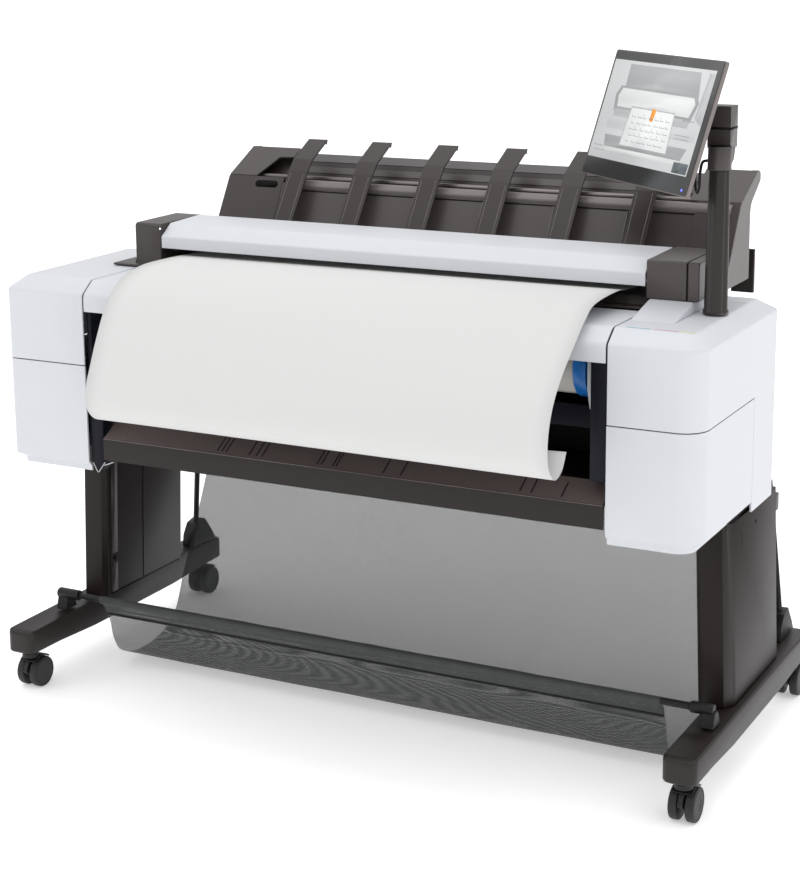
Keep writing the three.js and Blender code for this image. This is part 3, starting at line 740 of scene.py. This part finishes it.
def stacker_end(side, look, x0, x1, inner, hood_corners):
    """A cheek plate, the broad face beside it and the sloping hood over both."""
    shapes = [polygon_plate(f"{side}_cheek", end_outline, x0, x1, look, 0.0018)]
    face_line = fillet([(397.5, 838.5), (442, 910), (488, 987)], 30, 4)
    face_low, face_high = min(x0, inner), max(x1, inner)
    shapes.append(swept(f"{side}_cheek_face", face_line, face_low, face_high, 0.004, look, 0.0012))
    hood = bmesh.new()
    start = at(0, 489.5, 988)
    along = at(0, 585, 1036.5) - start
    rise = Vector((0, -along.z, along.y)).normalized() * 0.004
    outer = [start + along * share + Vector((x / 1000, 0, 0)) for x, share in hood_corners]
    prism(hood, [corner - rise for corner in outer], outer)
    shapes.append(rounded_edges(made(f"{side}_hood", hood, look), 0.0012))
    fitted(shapes[0], "machine", "taupe_plastic", f"stacker_{side}_end")
    for shape in shapes[1:]:
        fitted(shape, "machine", "taupe_plastic")


left_hood = [(-494, 0), (-430, 0), (-410, 0.66), (-378, 0.68), (-378, 1), (-494, 1)]
right_hood = [(505, 0), (604, 0), (604, 1), (505, 1)]
# The left end takes the darker copy of the taupe: painted shade.
stacker_end("left", shaded_taupe, -494, -480, -362, left_hood)
stacker_end("right", taupe, 590, 604, 520, right_hood)

# The handle slot in the left end is not cut: a near-black pill laid on it paints the shade inside.
PILL_REACH, PILL_RADIUS, PILL_STEPS = 0.019, 0.0075, 24
pill = bmesh.new()
pill_out = Vector((0, -78, 46)).normalized() * 0.0006
pill_up = Vector((0, 46, 78)).normalized()
pill_heart = at(-400, 479.5, 973)
ring = []
for step in range(PILL_STEPS):
    angle = step / PILL_STEPS * 2 * math.pi
    shift = PILL_REACH if math.cos(angle) > 0 else -PILL_REACH
    across = Vector((shift + PILL_RADIUS * math.cos(angle), 0, 0))
    ring.append(pill_heart + across + pill_up * (PILL_RADIUS * math.sin(angle)))
prism(pill, ring, [point + pill_out for point in ring])
fitted(made("left_handle_slot_shade", pill, slot_look), "machine", "taupe_plastic")

BEYOND_CHEEK = -341
front_line = [(400.2, 838.6), (484, 978)]
front_panel = swept("stacker_front_skin", front_line, -479.5, 589.5, 0.0055, taupe, 0.0015)
fitted(front_panel, "machine", "taupe_plastic", "stacker_front_panel")
# Painted shade: a dark strip over the lower part of the front panel, where it lies in shadow.
shade_strip_line = [(403.2, 845), (427.4, 885)]
painted_shade_strip = swept("stacker_painted_shade_strip", shade_strip_line, BEYOND_CHEEK, 518, 0.001, dark_cover, 0.0003)
fitted(painted_shade_strip, "machine", "taupe_plastic")
nosing_line = fillet([(477, 966), (475, 974), (484, 984), (492, 984)], 5, 4)
# The nosing is the front panel's own taupe; its much lighter colour is a painted highlight on the rounded
# top edge.
nosing_highlight_look = moulded("nosing", (0.17, 0.15, 0.145), 0.32)
nosing = swept("stacker_nosing", nosing_line, BEYOND_CHEEK, 589, 0.003, nosing_highlight_look, 0.0008)
fitted(nosing, "machine", "taupe_plastic")
shadow_line = [(474.2, 962.6), (475.6, 965)]
under_nosing = swept("stacker_nosing_shadow", shadow_line, BEYOND_CHEEK, 589, 0.0005, seam_look, 0.0001)
fitted(under_nosing, "machine", "taupe_plastic")
back_line = fillet([(540, 845), (540, 978), (590, 1026)], 10, 4)
back_panel = swept("stacker_back_skin", back_line, -479.5, 589.5, 0.0048, dark_cover, 0.0012)
fitted(back_panel, "machine", "taupe_plastic", "stacker_back_panel")
slate = moulded("slate band", (0.095, 0.088, 0.093), 0.36)
top_band = swept("stacker_top_band", [(573.5, 1011.6), (587.5, 1025)], -384, 504, 0.0015, slate, 0.0005)
fitted(top_band, "machine", "taupe_plastic")
mid_band = swept("stacker_mid_band", [(552, 991), (564, 1002.5)], -384, 504, 0.0015, taupe, 0.0005)
fitted(mid_band, "machine", "taupe_plastic")
dressed("stacker_rod", metal("dull rod", (0.20, 0.18, 0.175), 0.4), 0.001, angle=50)

arm_line = fillet([(352, 842), (468, 1004), (489, 1027), (553, 1061)], 6, 3)
ARM_COUNT, ARM_PITCH, ARM_MIDDLE = 6, 149, 54.5
arm_step = (ARM_PITCH / 1000, 0, 0)
first_arm = ARM_MIDDLE - (ARM_COUNT - 1) / 2 * ARM_PITCH
arm_look = moulded("arm taupe", (0.027, 0.0200, 0.0190), 0.36, sheen=0.42)
arms = swept("stacker_arms", arm_line, first_arm - 22, first_arm + 22, 0.0048, arm_look, 0.0014)
settled(arms)
repeated(arms, row_of_copies, arm_look, Count=ARM_COUNT, Step=arm_step)
fitted(arms, "machine", "taupe_plastic", *(f"stacker_arm_{i + 1}" for i in range(ARM_COUNT)))

# Painted highlights: two light lines along each arm's raised panel and the rib beside each arm, all in a
# colour much lighter than the arms' taupe.
arm_highlight_look = moulded("arm painted highlight", (0.13, 0.117, 0.112), 0.3)
arm_out = Vector((0, -162, 116)).normalized() * 0.0004
lines = bmesh.new()
for x in (first_arm - 16, first_arm + 14.5):
    ribbon(lines, at(x, 353, 843.4), at(x, 465, 999.8), Vector((0.0012, 0, 0)), arm_out)
rib = first_arm - 36
ribbon(lines, at(rib, 402.5, 845), at(rib, 473, 962), Vector((0.0016, 0, 0)), Vector((0, -0.004, 0.002)))
arm_highlights = made("stacker_arm_highlights", lines, arm_highlight_look)
repeated(arm_highlights, row_of_copies, arm_highlight_look, Count=ARM_COUNT, Step=arm_step)
fitted(arm_highlights, "machine", "taupe_plastic")

hook_outline = [(546, 1057), (553, 1061), (555, 1059), (551.5, 1050), (546, 1053)]
hooks = polygon_plate("stacker_arm_hooks", hook_outline, first_arm + 19, first_arm + 21.8, arm_look, 0.0006)
settled(hooks)
repeated(hooks, row_of_copies, arm_look, Count=ARM_COUNT, Step=arm_step)
fitted(hooks, "machine", "taupe_plastic")

bracket = polygon_plate("stacker_rear_bracket", [(578, 806), (586, 806), (586, 889), (578, 889)], 560, 604,
                        dark_cover, 0.0015)
fitted(bracket, "machine", "taupe_plastic")

# ---- display ---------------------------------------------------------------------------------
# A thin touch display on a cast arm that turns on the dark pole beside the scanner. Its screen
# shows a drawing of an original being loaded. A cable loops from the arm down to the collar.
pole_paint = moulded("pole paint", (0.020, 0.0155, 0.015), 0.26, grain=0.03)
dressed("display_pole", pole_paint, 0.001, angle=50)
cast_look = moulded("cast taupe", (0.045, 0.037, 0.036), 0.36)
dressed("display_arm", cast_look, 0.0022, 3)

face_yaw = math.radians(-41.3)
face_tilt = math.radians(17.7)
face_across = Vector((math.cos(face_yaw), math.sin(face_yaw), 0))
face_level = Vector((math.sin(face_yaw), -math.cos(face_yaw), 0))
face_out = face_level * math.cos(face_tilt) + Vector((0, 0, math.sin(face_tilt)))
face_up = face_out.cross(face_across)


def on_display(across, up, depth):
    """A point of the display: millimetres across, up, and behind its front face."""
    return at(506, 269, 1161) + (face_across * across + face_up * up - face_out * depth) / 1000


def display_layer(shape, outline, front, back):
    """A flat piece of the display between two depths."""
    prism(shape, [on_display(a, b, front) for a, b in outline], [on_display(a, b, back) for a, b in outline])


def box_outline(x0, x1, y0, y1):
    return [(x0, y0), (x1, y0), (x1, y1), (x0, y1)]


housing = bmesh.new()
display_layer(housing, closed_fillet(box_outline(-190, 190, -121, 110), [5] * 4), 1.2, 9)
display_layer(housing, closed_fillet(box_outline(-172, 172, -92, 92), [12] * 4), 9.2, 16.8)
rim_look = moulded("display rim", (0.19, 0.162, 0.156), 0.32)
back_shell = rounded_edges(made("display_back_shell", housing, rim_look), 0.0016)
fitted(back_shell, "display", "taupe_plastic", "display_housing")
knuckle = bmesh.new()
display_layer(knuckle, box_outline(-16, 16, -14, 14), 16, 44)
fitted(rounded_edges(made("display_knuckle", knuckle, cast_look), 0.002), "display", "taupe_plastic")
bezel = bmesh.new()
display_layer(bezel, closed_fillet(box_outline(-188.5, 188.5, -119.5, 108.5), [4] * 4), 0, 1.1)
bezel_look = moulded("display bezel", (0.046, 0.047, 0.047), 0.28, grain=0.0)
fitted(made("display_bezel", bezel, bezel_look), "display", "display_glass", "display_glass")

screen_parts = [
    ("panel", (0.66, 0.675, 0.68), [(-183, -88), (173, -88), (173, 92), (-183, 92)]),
    ("wall", (0.43, 0.44, 0.45), [(-118, 36), (142, 36), (126, 86), (-121, 86)]),
    ("wall_right", (0.54, 0.55, 0.56), [(146, 8), (172, -4), (172, 86), (154, 86)]),
    ("hood_shade", (0.36, 0.37, 0.38), [(-138, 0), (134, 0), (146, 34), (134, 46), (-132, 46), (-144, 30)]),
    ("hood", (0.80, 0.81, 0.81), [(-128, 8), (126, 8), (136, 32), (126, 42), (-124, 42), (-134, 28)]),
    ("hood_foot", (0.50, 0.51, 0.52), [(-132, -10), (130, -10), (134, 4), (-136, 4)]),
    ("guides", (0.60, 0.61, 0.62), [(-146, -32), (164, -32), (164, -14), (-146, -14)]),
    ("tray", (0.38, 0.39, 0.40), [(-134, -66), (138, -66), (150, -44), (-142, -44)]),
    ("tray_front", (0.74, 0.75, 0.75), [(-126, -73), (130, -73), (138, -65), (-134, -65)]),
    ("sheet_edge", (0.45, 0.46, 0.47), [(-82, -60), (88, -60), (80, 12), (-74, 12)]),
    ("sheet", (0.86, 0.87, 0.87), [(-80, -58), (86, -58), (78, 10), (-72, 10)]),
    ("marker", (0.90, 0.34, 0.02), [(0, -9), (12, -9), (15, 13), (1, 13)]),
    ("button", (0.10, 0.12, 0.13), [(122, -86), (170, -86), (170, -68), (122, -68)]),
]
for number, (part_name, colour, outline) in enumerate(screen_parts):
    piece = bmesh.new()
    front_depth = -0.05 - 0.03 * number
    display_layer(piece, outline, front_depth, front_depth + 0.03)
    look = lit(f"screen {part_name}", tuple(c * 0.62 for c in colour), 0.62)
    fitted(made(f"screen_{part_name}", piece, look), "display", "display_glass")

plan = bmesh.new()
for row in range(5):
    for column in range(7):
        x, y = -62 + column * 20 + (row % 2) * 3, -50 + row * 11
        display_layer(plan, box_outline(x, x + 11 + 3 * ((row + column) % 3), y, y + 0.9), -0.5, -0.46)
        display_layer(plan, box_outline(x, x + 0.9, y, y + 4 + 2 * ((row * column) % 3)), -0.5, -0.46)
for x, y, wide in ((-172, -66, 34), (-168, -74, 40), (98, -24, 50), (102, -30, 46), (110, 2, 40)):
    display_layer(plan, box_outline(x, x + wide, y, y + 0.9), -0.5, -0.46)
fitted(made("screen_lines", plan, lit("screen ink", (0.22, 0.23, 0.24), 0.4)), "display", "display_glass")
led = bmesh.new()
disc(led, on_display(172, -111, -0.1), tuple(face_out), 0.0022, 0.0006)
fitted(made("display_light", led, lit("blue light", (0.10, 0.12, 0.9), 2.5)), "display", "display_glass")

# The collar's hole is not cut: a near-black disc on its top paints the shade inside it.
cup = bmesh.new()
disc(cup, at(654, 201, 1123.4), (0, 0, 1), 0.0125, 0.001, 28)
fitted(made("collar_hole_shade", cup, slot_look), "arm", "taupe_plastic")
collar = bmesh.new()
for height, radius in ((1085.5, 20.6), (1121.5, 20.8)):
    disc(collar, at(654, 201, height), (0, 0, 1), radius / 1000, 0.003, 36)
fitted(rounded_edges(made("collar_rings", collar, cast_look), 0.0006), "arm", "taupe_plastic")
head_gap = bmesh.new()
block(head_gap, at(648, 231, 1151), (0.0408, 0.0388, 0.004))
fitted(made("head_gap", head_gap, seam_look), "arm", "taupe_plastic")
wedge_outline = [(222, 1119), (249, 1119), (240, 1096), (223, 1086)]
wedge = polygon_plate("head_wedge", wedge_outline, 636, 667, cast_look, 0.003)
fitted(wedge, "arm", "taupe_plastic")

cable_points = smooth_line([
    (598, 256, 1134), (597, 253, 1115), (598, 243, 1080), (604, 228, 1050), (612, 214, 1041),
    (618, 206, 1052), (620, 202, 1075), (624, 201, 1094), (633, 201, 1098)], 5)
cable_curve = bpy.data.curves.new("display_cable_line", "CURVE")
cable_curve.dimensions = "3D"
cable_line = cable_curve.splines.new("POLY")
cable_line.points.add(len(cable_points) - 1)
for point, place in zip(cable_line.points, cable_points):
    point.co = (*at(*place), 1)
cable_curve.bevel_depth = 0.0025
cable_curve.bevel_resolution = 3
cable_curve.use_fill_caps = True
cable_curve.materials.append(black_plastic)
cable = bpy.data.objects.new("display_cable_tube", cable_curve)
scene.collection.objects.link(cable)
fitted(cable, "arm", "cable_black", "display_cable")

# ---- stand -----------------------------------------------------------------------------------
# Two deep legs in brown plastic over steel, each on a cast foot. Their panels meet in seams and
# are held by a few screws.
leg_look = moulded("leg brown", (0.0108, 0.0064, 0.0059), 0.40, sheen=0.22)
leg_light = moulded("leg trim", (0.036, 0.028, 0.0265), 0.38)
foot_look = moulded("foot brown", (0.0165, 0.012, 0.0113), 0.42, sheen=0.35)
for side in ("left", "right"):
    dressed(f"{side}_leg", leg_look, 0.002, 3)
    dressed(f"{side}_foot", foot_look, 0.005, 4)


def on_leg(sign, x, y, z):
    """A point on a leg, which leans inwards as it rises."""
    return at(sign * (x - 0.038 * (z - 132.5)), y, z)


trims = bmesh.new()
gaps = bmesh.new()
for sign in (-1, 1):
    inward = Vector((-sign * 0.0005, 0, 0))
    outward = Vector((sign * 0.0005, 0, 0))
    ribbon(trims, on_leg(sign, 640, 218, 220), on_leg(sign, 640, 218, 464), Vector((0, 0.020, 0)), inward)
    ribbon(trims, on_leg(sign, 640, 218, 136), on_leg(sign, 640, 218, 198), Vector((0, 0.020, 0)), inward)
    ribbon(gaps, on_leg(sign, 640, 212, 134), on_leg(sign, 640, 212, 464), Vector((0, 0.0022, 0)), inward)
    ribbon(gaps, on_leg(sign, 640, 330, 134), on_leg(sign, 640, 330, 464), Vector((0, 0.0026, 0)), inward)
    ribbon(gaps, on_leg(sign, 640, 214, 133), on_leg(sign, 640, 470, 133), Vector((0, 0, 0.0025)), inward)
    ribbon(gaps, on_leg(sign, 703, 224, 133), on_leg(sign, 703, 472, 133), Vector((0, 0, 0.0022)), outward)
fitted(made("leg_trims", trims, leg_light), "machine", "leg_paint")
fitted(made("leg_gaps", gaps, seam_look), "machine", "leg_paint")
screws = bmesh.new()
for sign in (-1, 1):
    disc(screws, on_leg(sign, 639.6, 228, 209), (-sign, 0, 0), 0.0048, 0.0016, 14)
    disc(screws, on_leg(sign, 703.2, 349, 434), (sign, 0, 0), 0.0042, 0.0012, 14)
    disc(screws, on_leg(sign, 703.2, 267, 431), (sign, 0, 0), 0.003, 0.001, 14)
    ribbon(screws, on_leg(sign, 703, 265, 411), on_leg(sign, 703, 265, 424), Vector((0, 0.004, 0)),
           Vector((sign * 0.0004, 0, 0)))
fitted(rounded_edges(made("leg_screws", screws, slot_look), 0.0004), "machine", "leg_paint")
latch = bmesh.new()
for sign in (-1, 1):
    block(latch, at(sign * 658, 581, 404), (0.012, 0.018, 0.034))
fitted(rounded_edges(made("rod_latches", latch, leg_light), 0.002), "machine", "basket_rods")

# ---- casters ---------------------------------------------------------------------------------
# Four twin-wheel casters. Each pair of discs turns on one axle in a fork that swivels under its
# foot, and the fork's body fills the gap between the discs.
caster_black = moulded("caster black", (0.010, 0.010, 0.0105), 0.42, sheen=0.4)
tyre_black = moulded("tyre black", (0.014, 0.014, 0.0145), 0.5, sheen=0.4)


def turned(shape, profile, centre, steps=40):
    """A ring of (x, radius) points turned about an axis along X."""
    rings = [[shape.verts.new(centre + Vector((x, r * math.cos(a), r * math.sin(a))) / 1000)
              for a in (2 * math.pi * k / steps for k in range(steps))] for x, r in profile]
    for near, far in zip(rings, rings[1:] + rings[:1]):
        for k in range(steps):
            m = (k + 1) % steps
            shape.faces.new([near[k], near[m], far[m], far[k]])


CASTER_X, TRAIL, WHEEL = 686, 19, 31
wheel_profile = [
    (7, 0.5), (7, 29), (8.2, 30.6), (10, 31), (20, 31), (22, 30.2), (23, 28.6), (23, 26.5), (22.2, 26),
    (22.2, 25.2), (22.9, 24.8), (22.9, 12.5), (22.3, 12), (22.3, 0.5)]


def wheel_pair(corner, axle):
    """Two discs and the axle between them."""
    wheels = bmesh.new()
    for mirror in (-1, 1):
        turned(wheels, [(mirror * x, r) for x, r in wheel_profile], axle)
    turned(wheels, [(-7.5, 4), (7.5, 4), (7.5, 0.5), (-7.5, 0.5)], axle, 20)
    bmesh.ops.recalc_face_normals(wheels, faces=wheels.faces)
    pair = rounded_edges(made(f"{corner}_wheels_skin", wheels, tyre_black), 0.0004, 2, 40)
    fitted(pair, f"{corner}_wheels", "caster_black", f"{corner}_caster_wheels")


def caster_fork(corner, x, y):
    """The body between the discs, the hood over them and the stem up into the foot."""
    heart = y + TRAIL
    outline = [(heart + 34.5 * math.cos(a), WHEEL + 34.5 * math.sin(a))
               for a in (math.radians(d) for d in range(10, 171, 8))]
    outline += [(heart - 24, 28), (heart - 10, 20), (heart + 10, 20), (heart + 24, 28)]
    body = polygon_plate(f"{corner}_fork_skin", outline, x - 4.6, x + 4.6, caster_black, 0.0012)
    fitted(body, f"{corner}_fork", "caster_black", f"{corner}_caster_fork")
    arc = [(heart + r * math.cos(a), WHEEL + r * math.sin(a)) for r, order in ((35.5, 1), (32.6, -1))
           for a in [math.radians(d) for d in range(48, 133, 7)][::order]]
    cap = bmesh.new()
    prism(cap, [at(x - 19, a, b) for a, b in arc], [at(x + 19, a, b) for a, b in arc])
    disc(cap, at(x, y + 6, 69), (0, 0, 1), 0.017, 0.009, 28)
    disc(cap, at(x, y, 76), (0, 0, 1), 0.008, 0.007, 20)
    bmesh.ops.recalc_face_normals(cap, faces=cap.faces)
    hood = rounded_edges(made(f"{corner}_fork_cap", cap, caster_black), 0.001)
    fitted(hood, f"{corner}_fork", "caster_black")


for end, y in (("front", -7), ("rear", 612)):
    for side, sign in (("left", -1), ("right", 1)):
        wheel_pair(f"{end}_{side}", at(sign * CASTER_X, y + TRAIL, WHEEL))
        caster_fork(f"{end}_{side}", sign * CASTER_X, y)

# ---- basket ----------------------------------------------------------------------------------
# Open-weave grey fabric between a bar at the front and a rod frame at the back. Its hem wraps
# the bar and is stitched again just below it. The bar's ends sit in brackets on the feet.
dressed("basket_rear_frame", black_plastic, 0.0015)


def bar_along_x(shape, y, z, steps, sides=24):
    """A round bar along X: a run of (x, radius) steps."""
    turned(shape, steps + [(steps[-1][0], 0.3), (steps[0][0], 0.3)], at(0, y, z), sides)


bar = bmesh.new()
bar_along_x(bar, 110, 163, [(-642, 5.4), (-627, 5.4), (-626, 6.6), (656, 6.6), (657, 5.4), (660, 5.4)])
bar_along_x(bar, 110, 163, [(-692, 9.5), (-690, 10.6), (-643, 10.6), (-642, 9.5)])
bar_along_x(bar, 110, 163, [(658, 9.5), (659, 10.6), (698, 10.6), (700, 9.5)])
bmesh.ops.recalc_face_normals(bar, faces=bar.faces)
fitted(rounded_edges(made("front_bar_skin", bar, black_plastic), 0.0008, 2, 40), "machine", "basket_rods",
       "basket_front_bar")
post_outline = [(94, 132.3), (132, 132.3), (126, 150), (118, 160), (102, 160), (98, 148)]
for side, x0 in (("left", -690), ("right", 680)):
    post = polygon_plate(f"{side}_bar_post", post_outline, x0, x0 + 24, black_plastic, 0.002)
    fitted(post, "machine", "basket_rods")


def weave_look(name, gap_start):
    """Plain open weave: threads both ways with square holes between them."""
    look = bpy.data.materials.new(name)
    look.use_nodes = True
    nodes, links = look.node_tree.nodes, look.node_tree.links
    shader = nodes["Principled BSDF"]
    shader.inputs["Roughness"].default_value = 0.6
    shader.inputs["Specular IOR Level"].default_value = 0.3
    coords = nodes.new("ShaderNodeUVMap")
    coords.uv_map = "weave"
    cloud = nodes.new("ShaderNodeTexNoise")
    cloud.inputs["Scale"].default_value = 0.05
    tone = nodes.new("ShaderNodeValToRGB")
    tone.color_ramp.elements[0].color = (0.036, 0.039, 0.038, 1)
    tone.color_ramp.elements[1].color = (0.066, 0.070, 0.068, 1)
    links.new(coords.outputs["UV"], cloud.inputs["Vector"])
    links.new(cloud.outputs["Fac"], tone.inputs["Fac"])
    links.new(tone.outputs["Color"], shader.inputs["Base Color"])
    parts = nodes.new("ShaderNodeSeparateXYZ")
    links.new(coords.outputs["UV"], parts.inputs[0])
    holes = []
    for axis in ("X", "Y"):
        wave = nodes.new("ShaderNodeMath")
        wave.operation = "FRACT"
        links.new(parts.outputs[axis], wave.inputs[0])
        gap = nodes.new("ShaderNodeMath")
        gap.operation = "GREATER_THAN"
        gap.inputs[1].default_value = gap_start
        links.new(wave.outputs[0], gap.inputs[0])
        holes.append(gap)
    both = nodes.new("ShaderNodeMath")
    both.operation = "MULTIPLY"
    links.new(holes[0].outputs[0], both.inputs[0])
    links.new(holes[1].outputs[0], both.inputs[1])
    thread = nodes.new("ShaderNodeMath")
    thread.operation = "SUBTRACT"
    thread.inputs[0].default_value = 1.0
    links.new(both.outputs[0], thread.inputs[1])
    links.new(thread.outputs[0], shader.inputs["Alpha"])
    return look


THREAD_PITCH = 1.6
BASKET_LEFT, BASKET_RIGHT = -589, 604


def net(name, points, look, columns=48, sway=0.0):
    """A hanging net: a (y, z) line swept along X, with slow waves that vanish at its ends."""
    line = smooth_line(points, 6)
    run = [0.0]
    for a, b in zip(line, line[1:]):
        run.append(run[-1] + math.dist(a, b))
    shape = bmesh.new()
    layer = shape.loops.layers.uv.new("weave")
    width = BASKET_RIGHT - BASKET_LEFT
    grid = []
    for c in range(columns + 1):
        x = BASKET_LEFT + width * c / columns
        column = []
        for (y, z), along in zip(line, run):
            held = math.sin(math.pi * along / run[-1])
            slow, quick = math.sin(x * 0.011 + along * 0.013), math.sin(x * 0.027 - along * 0.02)
            wave = sway * held * (slow + 0.5 * quick)
            column.append(shape.verts.new(at(x, y, z + max(wave, 14 - z))))
        grid.append(column)
    for c in range(columns):
        for i in range(len(line) - 1):
            corners = ((c, i), (c, i + 1), (c + 1, i + 1), (c + 1, i))
            face = shape.faces.new([grid[a][b] for a, b in corners])
            for loop, (a, b) in zip(face.loops, corners):
                loop[layer].uv = (width * a / columns / THREAD_PITCH, run[b] / THREAD_PITCH)
    return made(name, shape, look), run[-1] / 1000


fabric_points = [(119, 156), (128, 132), (139, 104), (146, 72), (168, 36), (214, 17), (272, 14.5),
                 (334, 29), (376, 63), (410, 136), (456, 217), (512, 330), (564, 434)]
basket, basket_length = net("basket_net", fabric_points, weave_look("basket weave", 0.53), sway=0.8)
fitted(basket, "machine", "basket_mesh", "basket_fabric")
hem_points = [(110, 170.6), (104, 168), (101.8, 163), (106, 156), (116, 150), (127, 131)]
hem, hem_length = net("basket_hem", hem_points, weave_look("hem weave", 0.72))
fitted(hem, "machine", "basket_mesh")
stitch = bmesh.new()
bar_along_x(stitch, 130, 127, [(-588, 2.0), (-587, 2.6), (602, 2.6), (603, 2.0)], 12)
bmesh.ops.recalc_face_normals(stitch, faces=stitch.faces)
fitted(made("hem_cord", stitch, black_plastic), "machine", "basket_mesh")

# ---- finish ----------------------------------------------------------------------------------
# The box round the finished model's shown pieces.
low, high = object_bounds()
